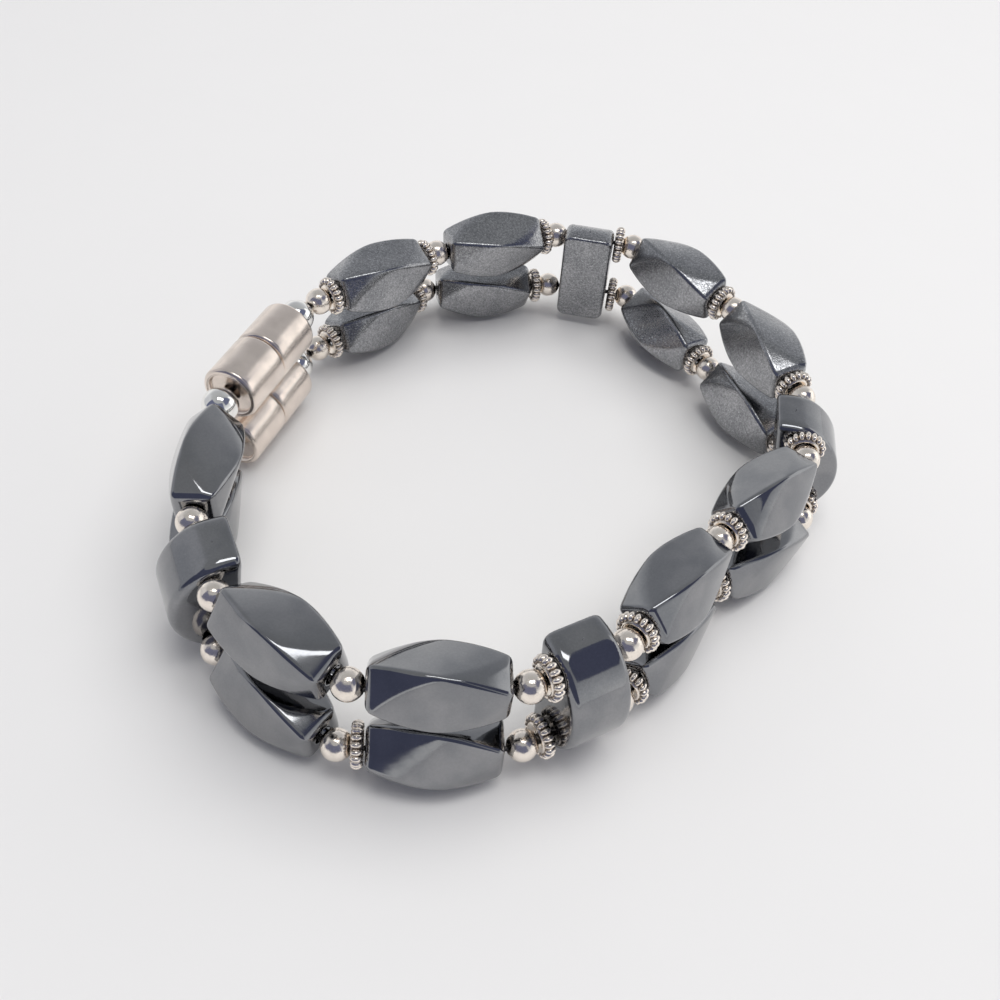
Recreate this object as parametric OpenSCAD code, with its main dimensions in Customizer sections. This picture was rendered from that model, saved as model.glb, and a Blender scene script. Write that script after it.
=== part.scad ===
// Two-strand bracelet of twisted hematite beads. Four two-hole bars join the strands, small silver
// spacers sit between the stones, and each strand closes with a magnetic barrel clasp. The bracelet
// stands on its edge as a closed loop, as it does on a table: both strings run level, one above the other.

/* [Twisted beads] */
// Length of a bead along its hole
bead_length = 12.2; // [8:0.5:16]
// Distance from the hole's axis to the middle of a long side face
leaf_distance = 2.92; // [2.6:0.02:3.3]
// Radius to which the side faces are bent
leaf_bend = 20; // [14:1:40]
// Direction in which a side face is bent, from the hole's axis, in degrees
leaf_turn = 41; // [30:1:60]
// Distance from the middle of a bead to the slanted faces at its ends
slant_distance = 4; // [3.8:0.05:4.2]
// Radius to which the slanted faces are bent
slant_bend = 21; // [14:1:40]
// Angle between a slanted face and the hole's axis, in degrees
slant_tilt = 20.5; // [16:0.5:24]
// Angle round the hole from a side face to the slanted face at its end, in degrees
slant_turn = 25; // [15:1:35]
// Diameter of the hole through beads and bars
bore = 1.8; // [1.6:0.1:2.2]

/* [Two-hole bars] */
// Width of a bar along the strands
bar_width = 6; // [4:0.1:8]
// Height of a bar over both strands
bar_height = 13.5; // [12:0.1:18]
// Thickness of a bar at its middle, from the flat inner face to the arched outer face
bar_thick = 6.6; // [4:0.1:7.5]
// Thickness of a bar at its top and bottom
bar_end_thick = 1.2; // [0.8:0.1:3]
// Radius of a bar's four corners
bar_corner = 1.2; // [0.4:0.1:2]
// Distance from the flat inner face to the middle of the holes
bar_hole_depth = 2.8; // [1.8:0.1:3.2]

/* [Silver spacers] */
// Diameter of the small round spacers
ball_size = 3; // [2.5:0.1:3.5]
// Diameter of the fluted spacers over their teeth
fluted_size = 4.4; // [3:0.1:6]
// Thickness of a fluted spacer
fluted_thick = 1.1; // [0.8:0.1:2]
// Depth of the flutes
flute_depth = 0.3; // [0.1:0.05:0.6]
// Number of teeth round a fluted spacer
flute_count = 18; // [12:1:24]
// Hole through the small round spacers
ball_bore = 1.2; // [0.8:0.1:1.5]
// Hole through the fluted spacers
fluted_bore = 2.2; // [1.6:0.1:2.4]

/* [Clasps] */
// Diameter of a clasp barrel
clasp_size = 6.2; // [5:0.1:8]
// Length of a closed clasp
clasp_length = 12.6; // [10:0.1:16]
// Diameter of the bright ball at each end of a clasp
end_ball_size = 3.8; // [3:0.1:5]
// Diameter of the hole in a barrel's end
clasp_bore = 1.8; // [1:0.1:2.4]
// Depth of that hole
clasp_bore_depth = 2.4; // [1:0.1:4]

/* [Strings] */
// Height between the two strings
strand_pitch = 8.5; // [7.8:0.1:9]
// Height of the lower string over the table
rest_height = 3.84; // [3.5:0.01:5]
// Diameter of the stringing wire
wire_size = 0.5; // [0.3:0.05:0.8]

/* [Hidden] */
$fn = 48;
BEADS = 9;
BARS = 4;
STRANDS = ["upper", "lower"];
ENDS = ["a", "b"];

STONE = [0.28, 0.29, 0.31];
BRIGHT_SILVER = [0.86, 0.85, 0.82];
OLD_SILVER = [0.7, 0.66, 0.58];
NICKEL = [0.72, 0.69, 0.64];
WIRE = [0.35, 0.34, 0.33];

// One row for each piece, clockwise from above, starting with the bar at the back.
// Columns: kind, heading of the upper piece, heading of the lower piece, roll of the upper bead,
// roll of the lower bead, spacers after the upper piece, spacers after the lower piece, slack after
// the upper piece, slack after the lower piece, in millimetres of bare string.
// Headings and rolls are in degrees. A heading of 0 points along +X.
KIND = 0;
HEADING = [1, 2];
ROLL = [3, 4];
AFTER = [5, 6];
SLACK = [7, 8];
PIECES = [
    ["bar", -5, -5, 0, 0, "pair", "pair", 0.4, 0.9],
    ["bead", -41, -51, 41, 15, "pair", "pair", 0.1, 0.6],
    ["bead", -65, -55, 31, 32, "pair", "pair", 0.3, 0.8],
    ["bar", -94, -94, 0, 0, "pair", "pair", 0.3, 0.5],
    ["bead", -128, -134, 72, 48, "pair", "pair", 0.1, 0.3],
    ["bead", -123, -121, 61, 52, "pair", "pair", 0.1, 0.9],
    ["bar", -146, -146, 0, 0, "pair", "pair", 0.6, 0.9],
    ["bead", -173, -173, 67, 74, "round", "pair", 0.4, 0.5],
    ["bead", -209, -213, 58, 62, "round", "round", 0.1, 0.6],
    ["bar", -241, -241, 0, 0, "round", "round", 0.1, 0.7],
    ["bead", -264, -266, 68, 46, "bright", "bright", 0.4, 1.1],
    ["clasp", -286, -286, 0, 0, "end", "end", 0.3, 1.2],
    ["bead", -315, -309, 45, 43, "pair", "pair", 0.1, 0.8],
    ["bead", -334, -345, 60, 50, "pair", "pair", 0.1, 0.9]
];
COUNT = len(PIECES);
// Where the lower string lies from the upper one at the first bar, seen from above.
FIRST_BAR_SHIFT = [0.3, 1.1];
// Moves the middle of the bracelet's outline to the origin.
CENTRE = [5.5, 33.6];

CLEAR = 0.06;
ball_r = ball_size / 2;
end_ball_r = end_ball_size / 2;
// Distance from a stone's face to the middle of a ball that nests in the mouth of its hole.
function nest(r, hole) = sqrt(pow(r + CLEAR, 2) - pow(hole / 2, 2));
ball_to_stone = nest(ball_r, bore);
ball_to_fluted = nest(ball_r, fluted_bore);
bright_to_stone = nest(end_ball_r, bore);
bright_to_clasp = nest(end_ball_r, clasp_bore);
fluted_reach = CLEAR + fluted_thick + ball_to_fluted;
ball_to_bright = ball_r + end_ball_r + CLEAR;

function play(s, i) = PIECES[i][SLACK[s]];
function size_of(i) = PIECES[i][KIND] == "bar" ? bar_width
    : PIECES[i][KIND] == "clasp" ? clasp_length : bead_length;
function after(s, i) = PIECES[i][AFTER[s]];
function heading(s, i) = PIECES[i % COUNT][HEADING[s]] - (i >= COUNT ? 360 : 0);
function along(angle) = [cos(angle), sin(angle)];

// Distances from the end of a piece to the bend after it, and from the bend to the next piece.
function reach_out(s, i) = let (a = after(s, i))
    a == "pair" ? fluted_reach + play(s, i)
    : a == "round" ? ball_to_stone + play(s, i)
    : a == "bright" ? bright_to_stone + play(s, i)
    : bright_to_clasp;
function reach_in(s, i) = let (a = after(s, i))
    a == "bright" ? bright_to_clasp
    : a == "end" ? fluted_reach
    : ball_to_stone;
function bridge(s, i) = after(s, i) == "end" ? ball_to_bright + play(s, i) : 0;
function step(s, i) = let (h = heading(s, i), next = heading(s, i + 1))
    along(h) * (size_of(i) / 2 + reach_out(s, i))
    + along((h + next) / 2) * bridge(s, i)
    + along(next) * (reach_in(s, i) + size_of((i + 1) % COUNT) / 2);

// Middle of each piece in plan. What the rounded headings leave open at the end is shared out.
function chain(s) = [for (i = 0, p = [0, 0]; i <= COUNT; p = p + step(s, i), i = i + 1) p];
function closed(s) = let (p = chain(s), gap = p[COUNT])
    [for (i = [0:COUNT - 1]) p[i] - gap * i / COUNT];
LAYOUT = [
    [for (p = closed(0)) p + CENTRE],
    [for (p = closed(1)) p + CENTRE + FIRST_BAR_SHIFT]
];
function level(s) = rest_height + (s == 0 ? strand_pitch : 0);
function plan_point(s, i) = [LAYOUT[s][i].x, LAYOUT[s][i].y, level(s)];
function unit(v) = v / norm(v);
function level_run(angle) = [cos(angle), sin(angle), 0];
function kinds(k) = [for (i = [0:COUNT - 1]) if (PIECES[i][KIND] == k) i];
BEAD_ROWS = kinds("bead");
BAR_ROWS = kinds("bar");
CLASP_ROW = kinds("clasp")[0];

// Directions of a piece: up, and run along its hole. A bar leans so that both strings pass through it.
function is_bar(i) = PIECES[i][KIND] == "bar";
function bar_up(i) = unit(plan_point(0, i) - plan_point(1, i));
function up_of(i) = is_bar(i) ? bar_up(i) : [0, 0, 1];
function squared(v, up) = unit(v - up * (v * up));
function run_of(s, i) = squared(level_run(heading(is_bar(i) ? 0 : s, i)), up_of(i));

// Middle of a piece on string s, and points along its hole.
function bar_middle(i) = (plan_point(0, i) + plan_point(1, i)) / 2;
function at(s, i) = is_bar(i)
    ? bar_middle(i) + bar_up(i) * strand_pitch * (s == 0 ? 0.5 : -0.5)
    : plan_point(s, i);
function ahead(s, i, d) = at(s, i) + run_of(s, i) * d;
function tail(s, i, d = 0) = ahead(s, i, size_of(i) / 2 + d);
function head(s, i, d = 0) = let (k = i % COUNT) ahead(s, k, -size_of(k) / 2 - d);

// Puts its children at a point with their X axis along run and their Z axis along up.
module placed(point, run, up = [0, 0, 1]) {
    side = cross(up, run);
    multmatrix([
        [run.x, side.x, up.x, point.x],
        [run.y, side.y, up.y, point.y],
        [run.z, side.z, up.z, point.z],
        [0, 0, 0, 1]
    ]) children();
}

// A slab with a bent upper face: the face is highest over the middle and bends down along X.
ARC_STEPS = 4;
ARC_REACH = 10;
SLAB_DEPTH = 9;
function arc_height(x, bend) = sqrt(bend * bend - x * x) - bend;
module bent_slab(height, bend) {
    arc = [for (k = [-ARC_STEPS:ARC_STEPS]) let (x = k * ARC_REACH / ARC_STEPS) [x, height + arc_height(x, bend)]];
    rotate([90, 0, 0]) linear_extrude(3 * ARC_REACH, center = true)
        polygon(concat([[-ARC_REACH, -SLAB_DEPTH], [ARC_REACH, -SLAB_DEPTH]], [for (k = [len(arc) - 1:-1:0]) arc[k]]));
}

// A square barrel that winds round its hole: four long side faces, bent along a slanting line, and a
// smaller slanted face at both ends of each, so that four ridges run from end to end.
SIDES = 4;
SLANT_MIDDLE = 3;
module bead_blank() {
    intersection() {
        cube([bead_length, 2 * SLAB_DEPTH, 2 * SLAB_DEPTH], center = true);
        intersection_for (k = [0:SIDES - 1]) rotate([k * 90 - 45, 0, 0])
            rotate([0, 0, -leaf_turn]) bent_slab(leaf_distance, leaf_bend);
        intersection_for (k = [0:SIDES - 1], side = [-1, 1]) rotate([k * 90 - 45 + side * slant_turn, 0, 0])
            rotate([0, side * slant_tilt, 0]) translate([side * SLANT_MIDDLE, 0, 0])
                bent_slab(slant_distance, slant_bend);
    }
}

module twisted_bead() {
    difference() {
        bead_blank();
        rotate([0, 90, 0]) cylinder(d = bore, h = bead_length + 2, center = true, $fn = 24);
    }
}

module bead(s, number) {
    i = BEAD_ROWS[number - 1];
    color(STONE) placed(at(s, i), run_of(s, i)) rotate([PIECES[i][ROLL[s]], 0, 0]) twisted_bead();
}

// A bar has a flat inner face and an arched outer face, and a hole for each string.
bar_rise = bar_thick - bar_end_thick;
bar_arch_r = (pow(bar_height / 2, 2) + pow(bar_rise, 2)) / (2 * bar_rise);

CORNER_STEPS = 4;
function corner_points(turn) = [
    for (k = [0:CORNER_STEPS]) let (a = turn + k * 90 / CORNER_STEPS, c = sign(cos(turn + 45)), d = sign(sin(turn + 45)))
        [c * (bar_width / 2 - bar_corner) + bar_corner * cos(a), d * (bar_height / 2 - bar_corner) + bar_corner * sin(a)]
];
module bar_blank() {
    intersection() {
        translate([0, bar_thick - bar_hole_depth, 0]) rotate([90, 0, 0])
            linear_extrude(bar_thick) polygon([for (turn = [0:90:270]) each corner_points(turn)]);
        translate([0, bar_thick - bar_hole_depth - bar_arch_r, 0])
            rotate([0, 90, 0]) cylinder(r = bar_arch_r, h = bar_width + 2, center = true, $fn = 96);
    }
}

module bar(number) {
    i = BAR_ROWS[number - 1];
    color(STONE) placed(bar_middle(i), run_of(0, i), bar_up(i)) difference() {
        bar_blank();
        for (side = [-1, 1]) translate([0, 0, side * strand_pitch / 2])
            rotate([0, 90, 0]) cylinder(d = bore, h = bar_width + 2, center = true, $fn = 24);
    }
}

module round_ball(d, hole) {
    difference() {
        sphere(d = d);
        rotate([0, 90, 0]) cylinder(d = hole, h = d + 2, center = true, $fn = 24);
    }
}

// Teeth of a fluted spacer: the outline runs in and out between the tooth tips and the flutes.
function tooth_outline() = [
    for (k = [0:flute_count * 2 - 1])
        let (r = fluted_size / 2 - (k % 2) * flute_depth, a = k * 180 / flute_count) [r * cos(a), r * sin(a)]
];

module fluted_ring() {
    rotate([0, 90, 0]) linear_extrude(fluted_thick, center = true) difference() {
        polygon(tooth_outline());
        circle(d = fluted_bore, $fn = 24);
    }
}

// The round spacer after piece i nests in the mouths on both sides, with half of the play on each, and
// its own hole turns with the string.
function has_ball(s, i) = after(s, i) != "bright";
function ball_point(s, i) = let (half = play(s, i) / 2, a = after(s, i))
    a == "end" ? head(s, i + 1, fluted_reach + half)
    : (tail(s, i, half + (a == "pair" ? fluted_reach : ball_to_stone)) + head(s, i + 1, half + ball_to_stone)) / 2;
function ball_run(s, i) = let (share = after(s, i) == "end" ? 0.75 : 0.5)
    level_run(heading(s, i) * (1 - share) + heading(s, i + 1) * share);
function fluted_offset(s, i) = CLEAR + play(s, i) / 4 + fluted_thick / 2;

module round_after(s, i) {
    if (has_ball(s, i)) placed(ball_point(s, i), ball_run(s, i)) round_ball(ball_size, ball_bore);
}

module fluted_after(s, i) {
    if (after(s, i) == "pair") placed(tail(s, i, fluted_offset(s, i)), run_of(s, i), up_of(i)) fluted_ring();
    if (after(s, i) == "end") placed(head(s, i + 1, fluted_offset(s, i)), run_of(s, i + 1)) fluted_ring();
}

module round_spacers(s) {
    color(OLD_SILVER) for (i = [0:COUNT - 1]) round_after(s, i);
}

module fluted_spacers(s) {
    color(OLD_SILVER) for (i = [0:COUNT - 1]) fluted_after(s, i);
}

// Half a clasp: a barrel with a hole for the string in its outer end.
SEAM = 0.1;
CLASP_EDGE = 0.45;
half_length = (clasp_length - SEAM) / 2;

module clasp_half(s, side) {
    color(NICKEL) placed(at(s, CLASP_ROW), run_of(s, CLASP_ROW))
        rotate([0, side * 90, 0]) difference() {
            rotate_extrude() polygon([
                [0, SEAM / 2],
                [clasp_size / 2 - CLASP_EDGE, SEAM / 2],
                [clasp_size / 2, SEAM / 2 + CLASP_EDGE],
                [clasp_size / 2, half_length - CLASP_EDGE],
                [clasp_size / 2 - CLASP_EDGE, half_length + SEAM / 2],
                [0, half_length + SEAM / 2]
            ]);
            translate([0, 0, half_length + SEAM / 2 - clasp_bore_depth])
                cylinder(d = clasp_bore, h = clasp_bore_depth + 1, $fn = 24);
        }
}

// The bright ball at each end of a clasp sits in the mouth of the barrel's hole.
function bright_point(s, side) = ahead(s, CLASP_ROW, side * (clasp_length / 2 + bright_to_clasp));
function bright_run(s, side) = let (h = heading(s, CLASP_ROW))
    level_run(side < 0 ? (h + heading(s, CLASP_ROW - 1)) / 2 : h * 0.75 + heading(s, CLASP_ROW + 1) * 0.25);

module end_ball(s, side) {
    color(BRIGHT_SILVER) placed(bright_point(s, side), bright_run(s, side))
        round_ball(end_ball_size, ball_bore);
}

// The stringing wire runs from one clasp half to the other. It is straight inside each stone and each
// ball and bends in the mouths of the holes.
WIRE_SIDES = 8;
WIRE_INSET = 1.8;
function through(point, run, reach) = [point - run * reach, point + run * reach];
function ball_pass(s, i) = has_ball(s, i) ? through(ball_point(s, i), ball_run(s, i), ball_r) : [];
function bright_pass(s, side) = through(bright_point(s, side), bright_run(s, side), end_ball_r);
function piece_pass(s, i) = through(at(s, i), run_of(s, i), size_of(i) / 2 - WIRE_INSET);
function route(s) = concat(
    [tail(s, CLASP_ROW, -WIRE_INSET)],
    bright_pass(s, 1),
    ball_pass(s, CLASP_ROW),
    [for (k = [1:COUNT - 1]) let (i = (CLASP_ROW + k) % COUNT)
        each concat(piece_pass(s, i), ball_pass(s, i))],
    bright_pass(s, -1),
    [head(s, CLASP_ROW, -WIRE_INSET)]
);
function ring_at(points, i) = let (
        last = len(points) - 1,
        forward = unit(points[min(i + 1, last)] - points[max(i - 1, 0)]),
        side = unit(cross([0, 0, 1], forward))
    )
    [for (k = [0:WIRE_SIDES - 1]) let (a = k * 360 / WIRE_SIDES)
        points[i] + wire_size / 2 * (cos(a) * side + sin(a) * [0, 0, 1])];

module swept_wire(points) {
    rings = len(points);
    skin = [for (i = [0:rings - 2], k = [0:WIRE_SIDES - 1]) let (next = (k + 1) % WIRE_SIDES) [
        i * WIRE_SIDES + k,
        (i + 1) * WIRE_SIDES + k,
        (i + 1) * WIRE_SIDES + next,
        i * WIRE_SIDES + next
    ]];
    start_cap = [for (k = [0:WIRE_SIDES - 1]) k];
    end_cap = [for (k = [WIRE_SIDES - 1:-1:0]) (rings - 1) * WIRE_SIDES + k];
    polyhedron([for (i = [0:rings - 1]) each ring_at(points, i)], concat([start_cap, end_cap], skin));
}

module string(s) {
    color(WIRE) swept_wire(route(s));
}

for (s = [0, 1], i = [1:BEADS]) bead(s, i);
for (i = [1:BARS]) bar(i);
for (s = [0, 1], e = [0, 1]) clasp_half(s, e == 0 ? -1 : 1);
for (s = [0, 1], e = [0, 1]) end_ball(s, e == 0 ? -1 : 1);
for (s = [0, 1]) round_spacers(s);
for (s = [0, 1]) fluted_spacers(s);
for (s = [0, 1]) string(s);
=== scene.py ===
"""Looks of a two-strand bracelet of twisted hematite beads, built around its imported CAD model."""
import math

import bmesh
import bpy
import numpy as np
from mathutils import Matrix


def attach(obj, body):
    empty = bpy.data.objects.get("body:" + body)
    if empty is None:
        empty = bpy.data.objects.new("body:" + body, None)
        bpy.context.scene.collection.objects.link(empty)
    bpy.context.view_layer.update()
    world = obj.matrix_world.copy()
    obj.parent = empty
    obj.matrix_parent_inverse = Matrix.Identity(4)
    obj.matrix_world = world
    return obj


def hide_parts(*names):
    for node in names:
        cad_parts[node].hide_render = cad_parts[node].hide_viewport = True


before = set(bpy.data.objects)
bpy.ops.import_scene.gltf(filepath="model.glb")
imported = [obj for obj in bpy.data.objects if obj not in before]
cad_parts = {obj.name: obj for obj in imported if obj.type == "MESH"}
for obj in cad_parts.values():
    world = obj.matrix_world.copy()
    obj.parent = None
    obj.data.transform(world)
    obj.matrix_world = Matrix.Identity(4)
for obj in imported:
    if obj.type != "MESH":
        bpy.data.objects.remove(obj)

bl_info = {
    "name": "Hematite beaded bracelet",
    "version": (1, 0, 0),
    "blender": (4, 5, 0),
    "location": "View3D > Sidebar > Bracelet",
    "description": "Polished stones, silver spacers, clasps and wire of a two-strand bracelet",
    "category": "Add Mesh",
}

MM = 0.001
STRANDS = ("upper", "lower")
ENDS = ("a", "b")
BEADS = 9
BARS = 4
SIDES = 4
GRAINED_BEADS = (1, 2, 8, 9)
GRAINED_BARS = (1,)


# What the CAD nodes say: corners, loose solids, middles and directions

# Nearer than this, two points are one
SAME_POINT = 0.001 * MM
# Nearer than this to a plane, a point lies in it
SAME_PLANE = 0.01 * MM
# Above this cosine two directions are one, and below the other they are square to each other
SAME_WAY, SQUARE_WAY = 0.9999, 0.1
# Points past this share of the farthest reach lie on a ridge, and short of the other on a hole's wall
RIDGE_REACH, WALL_REACH = 0.98, 0.9
# Edges under this share of the wire's width lie within one of its rings
RING_SIDE = 0.6
UP = (0.0, 0.0, 1.0)
# A direction that no hole runs along
ASIDE = (0.3, 0.2, 1.0)


def corners_of(node):
    """Corner points of a CAD node's triangles, as an array of triangles by corners by axes."""
    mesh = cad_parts[node].data
    mesh.calc_loop_triangles()
    points = np.array([v.co for v in mesh.vertices])
    return points[np.array([t.vertices[:] for t in mesh.loop_triangles])]


def shared_points(triangles):
    """The separate points of triangles, and each triangle's corners as indices into them."""
    keys = np.round(triangles.reshape(-1, 3) / SAME_POINT).astype(np.int64)
    _, first, index = np.unique(keys, axis=0, return_index=True, return_inverse=True)
    return triangles.reshape(-1, 3)[first], index.reshape(-1, 3)


def groups_of(count, links):
    """A label for each of count points, the same for all points that the links join."""
    label = np.arange(count)
    while True:
        joined = label.copy()
        np.minimum.at(joined, links, label[links].min(axis=1, keepdims=True))
        joined = joined[joined]
        if np.array_equal(joined, label):
            return label
        label = joined


def solids_of(node):
    """Triangle corners of each loose solid of a CAD node."""
    triangles = corners_of(node)
    points, index = shared_points(triangles)
    label = groups_of(len(points), index)[index[:, 0]]
    return [triangles[label == name] for name in np.unique(label)]


def normals_of(triangles):
    """Normal of each triangle, as long as its area."""
    a, b, c = np.moveaxis(triangles, 1, 0)
    return np.cross(b - a, c - a) / 2


def middle_of(triangles):
    """Middle of a solid's skin."""
    area = np.linalg.norm(normals_of(triangles), axis=1)
    return np.average(triangles.mean(axis=1), axis=0, weights=area)


def directions_of(triangles):
    """Directions in which a solid's skin spreads, from the least to the most."""
    a, b, c = np.moveaxis(triangles - middle_of(triangles), 1, 0)
    area = np.linalg.norm(normals_of(triangles), axis=1)
    spread = sum(np.einsum("t,ti,tj->ij", area, v, v) for v in (a, b, c, a + b + c))
    return np.linalg.eigh(spread)[1].T


def unit(vector):
    return vector / np.linalg.norm(vector)


def basis(middle, x_axis, y_axis):
    """Matrix that carries a piece from its own axes to a middle, with its X and Y along two directions."""
    x = unit(x_axis)
    y = unit(y_axis - x * (y_axis @ x))
    matrix = np.eye(4)
    matrix[:3, 0], matrix[:3, 1], matrix[:3, 2], matrix[:3, 3] = x, y, np.cross(x, y), middle
    return matrix


def seen_from(place, triangles):
    """Corner points of triangles, along the axes of a place."""
    return (triangles.reshape(-1, 3) - place[:3, 3]) @ place[:3, :3]


def bead_place(node):
    """Where a bead is: X along its hole, and Y towards a ridge at its middle."""
    triangles = corners_of(node)
    middle, axis = middle_of(triangles), directions_of(triangles)[2]
    place = basis(middle, axis, np.cross(axis, UP))
    _, across, up = seen_from(place, triangles).T
    far = np.hypot(across, up)
    ridges = far > RIDGE_REACH * far.max()
    turn = np.angle(np.exp(1j * SIDES * np.arctan2(up, across)[ridges]).mean()) / SIDES
    return basis(middle, axis, place[:3, 1] * math.cos(turn) + place[:3, 2] * math.sin(turn))


def bar_place(node):
    """Where a bar is: X along the strings, Y outwards and Z up, with the origin in its flat inner face."""
    triangles = corners_of(node)
    up = directions_of(triangles)[2]
    up = up if up[2] > 0 else -up
    area = np.linalg.norm(normals_of(triangles), axis=1)
    normal = normals_of(triangles) / area[:, None]
    shares = [area[normal @ n > SAME_WAY].sum() * (abs(n @ up) < SQUARE_WAY) for n in normal]
    inner = normal[int(np.argmax(shares))]
    points = triangles.reshape(-1, 3)
    run = np.cross(-inner, up)
    flat = points[(points @ inner) > (points @ inner).max() - SAME_PLANE]
    return basis((flat.min(axis=0) + flat.max(axis=0)) / 2, run, -inner)


def drilled_place(triangles):
    """Where a drilled ball is: X along its hole."""
    middle = middle_of(triangles)
    reach = np.linalg.norm(triangles.mean(axis=1) - middle, axis=1)
    wall = triangles[reach < WALL_REACH * reach.max()].reshape(-1, 3) - middle
    axis = np.linalg.eigh(wall.T @ wall)[1][:, 2]
    return basis(middle, axis, np.cross(axis, ASIDE))


def ring_place(triangles):
    """Where a fluted spacer is: X along its hole."""
    axis = directions_of(triangles)[0]
    return basis(middle_of(triangles), axis, np.cross(axis, ASIDE))


def half_place(node, other):
    """Where a clasp half is: X along its hole, away from the other half, with the origin in the seam."""
    triangles = corners_of(node)
    middle = middle_of(triangles)
    axis = unit(middle - middle_of(corners_of(other)))
    seam = ((triangles.reshape(-1, 3) - middle) @ axis).min()
    return basis(middle + axis * seam, axis, np.cross(axis, UP))


def string_route(node):
    """Middle points of a string's rings, from one end to the other."""
    points, index = shared_points(corners_of(node))
    edges = index[:, [0, 1, 1, 2, 2, 0]].reshape(-1, 2)
    long = np.linalg.norm(points[edges[:, 0]] - points[edges[:, 1]], axis=1)
    ring_side = length_of("string_size") * RING_SIDE
    label = groups_of(len(points), edges[long < ring_side])
    rings = {name: points[label == name].mean(axis=0) for name in np.unique(label)}
    near = {name: set() for name in rings}
    for a, b in label[edges[long >= ring_side]]:
        if a != b:
            near[a].add(b)
            near[b].add(a)
    ends = [name for name in rings if len(near[name]) == 1]
    if len(ends) != 2:
        raise RuntimeError(f"{node}: the string's rings don't make one line")
    walk, here, before = [ends[0]], ends[0], None
    while here != ends[1]:
        here, before = next(n for n in near[here] if n != before), here
        walk.append(here)
    return np.array([rings[name] for name in walk])


# Sizes, colours and stage that a user would change


def setting(name, default, description, **kind):
    return bpy.props.FloatProperty(name=name, description=description, default=default, **kind)


def size(name, default, description):
    """A length, with its default in millimetres."""
    return setting(name, default * MM, description, unit="LENGTH", subtype="DISTANCE", precision=5)


def angle(name, default, description):
    """An angle, with its default in degrees."""
    return setting(name, math.radians(default), description, unit="ROTATION", subtype="ANGLE")


def colour(name, default, description):
    return bpy.props.FloatVectorProperty(
        name=name, description=description, default=default, min=0, max=1, subtype="COLOR"
    )


def extent_of(node, place):
    return np.ptp(seen_from(place(node), corners_of(node)), axis=0).tolist()


BEAD_EXTENT = extent_of("upper_bead_1", bead_place)
BAR_EXTENT = extent_of("bar_1", bar_place)


class BraceletSizes(bpy.types.PropertyGroup):
    """Sizes of the pieces that the CAD nodes don't tell."""

    leaf_distance: size("Side face distance", 2.92, "From the hole's axis to the middle of a side face")
    leaf_bend: size("Side face bend", 20, "Radius to which the side faces are bent")
    leaf_turn: angle("Side face turn", 41, "Direction in which a side face is bent, from the hole's axis")
    slant_distance: size("Slant distance", 4, "From a bead's middle to the slanted faces at its ends")
    slant_bend: size("Slant bend", 21, "Radius to which the slanted faces are bent")
    slant_tilt: angle("Slant tilt", 20.5, "Angle between a slanted face and the hole's axis")
    slant_turn: angle("Slant turn", 25, "Angle round the hole from a side face to its slanted faces")
    slant_middle: size("Slant middle", 3, "Where along the hole a slanted face starts to bend")
    stone_bore: size("Stone hole", 1.8, "Diameter of the holes in beads and bars")
    ridge_round: size("Ridge rounding", 0.3, "Radius of a bead's polished ridges")
    crease_round: size("Crease rounding", 0.2, "Radius between a side face and its slanted faces")
    end_round: size("End rounding", 0.6, "Radius round a bead's end faces")
    bar_corner: size("Bar corner", 1.2, "Radius of a bar's four corners")
    bar_round: size("Bar rounding", 0.7, "Radius between a bar's arched face and its sides")
    bar_inner_round: size("Bar inner rounding", 0.45, "Radius round a bar's flat inner face")
    bar_end_thick: size("Bar end", 1.2, "Thickness of a bar at its top and bottom")
    bar_hole_depth: size("Bar hole depth", 2.8, "From a bar's inner face to its holes")
    strand_pitch: size("Strand pitch", 8.5, "Height between the two strings")
    ball_bore: size("Ball hole", 1.2, "Diameter of the holes in the balls")
    fluted_bore: size("Fluted hole", 2.2, "Diameter of the holes in the fluted spacers")
    clasp_bore: size("Clasp hole", 1.8, "Diameter of the hole in a clasp half")
    clasp_bore_depth: size("Clasp hole depth", 2.4, "Depth of the hole in a clasp half")
    clasp_round: size("Clasp rounding", 0.45, "Radius of a clasp half's rims")
    string_size: size("Wire", 0.5, "Diameter of the stringing wire")


class BraceletColours(bpy.types.PropertyGroup):
    """Colours of the finishes."""

    hematite: colour("Hematite", (0.29, 0.292, 0.3), "Mirror colour of the polished stone")
    hematite_dark: colour("Hematite clouds", (0.2, 0.208, 0.222), "Darker clouds in the stone")
    nickel: colour("Clasp", (0.88, 0.78, 0.7), "Satin barrels of the clasps")
    silver: colour("Bright silver", (0.95, 0.94, 0.91), "Balls at the ends of the clasps")
    old_silver: colour("Worn silver", (0.96, 0.88, 0.79), "Spacers")
    tarnish: colour("Tarnish", (0.1, 0.07, 0.05), "Dark film in the spacers' recesses")
    wire: colour("Wire", (0.2, 0.19, 0.18), "Coated stringing wire")
    floor: colour("Floor", (0.79, 0.775, 0.755), "Plain pale floor")


class BraceletStage(bpy.types.PropertyGroup):
    """Camera, and how bright the room is."""

    camera_height: angle("Camera angle", 48.097, "How far the camera looks down")
    camera_roll: angle("Camera roll", 7.04, "How far the camera leans sideways")
    camera_distance: size("Camera distance", 107.242, "From the camera to the point it looks at")
    camera_x: size("Looks at X", -1.697, "Point that the camera looks at")
    camera_y: size("Looks at Y", -7.938, "Point that the camera looks at")
    camera_z: size("Looks at Z", 7.81, "Point that the camera looks at")
    lens: setting("Lens", 37.525, "Focal length in millimetres", min=0)
    room: setting("Room light", 1.2, "Brightness of the room around the bracelet", min=0)
    floor_size: size("Floor", 1400, "Width of the floor")


def length_of(name):
    return getattr(bpy.context.scene.bracelet_sizes, name)


def colour_of(name):
    return tuple(getattr(bpy.context.scene.bracelet_colours, name))


def stage_of(name):
    return getattr(bpy.context.scene.bracelet_stage, name)


# Node trees written as plain maths


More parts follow.
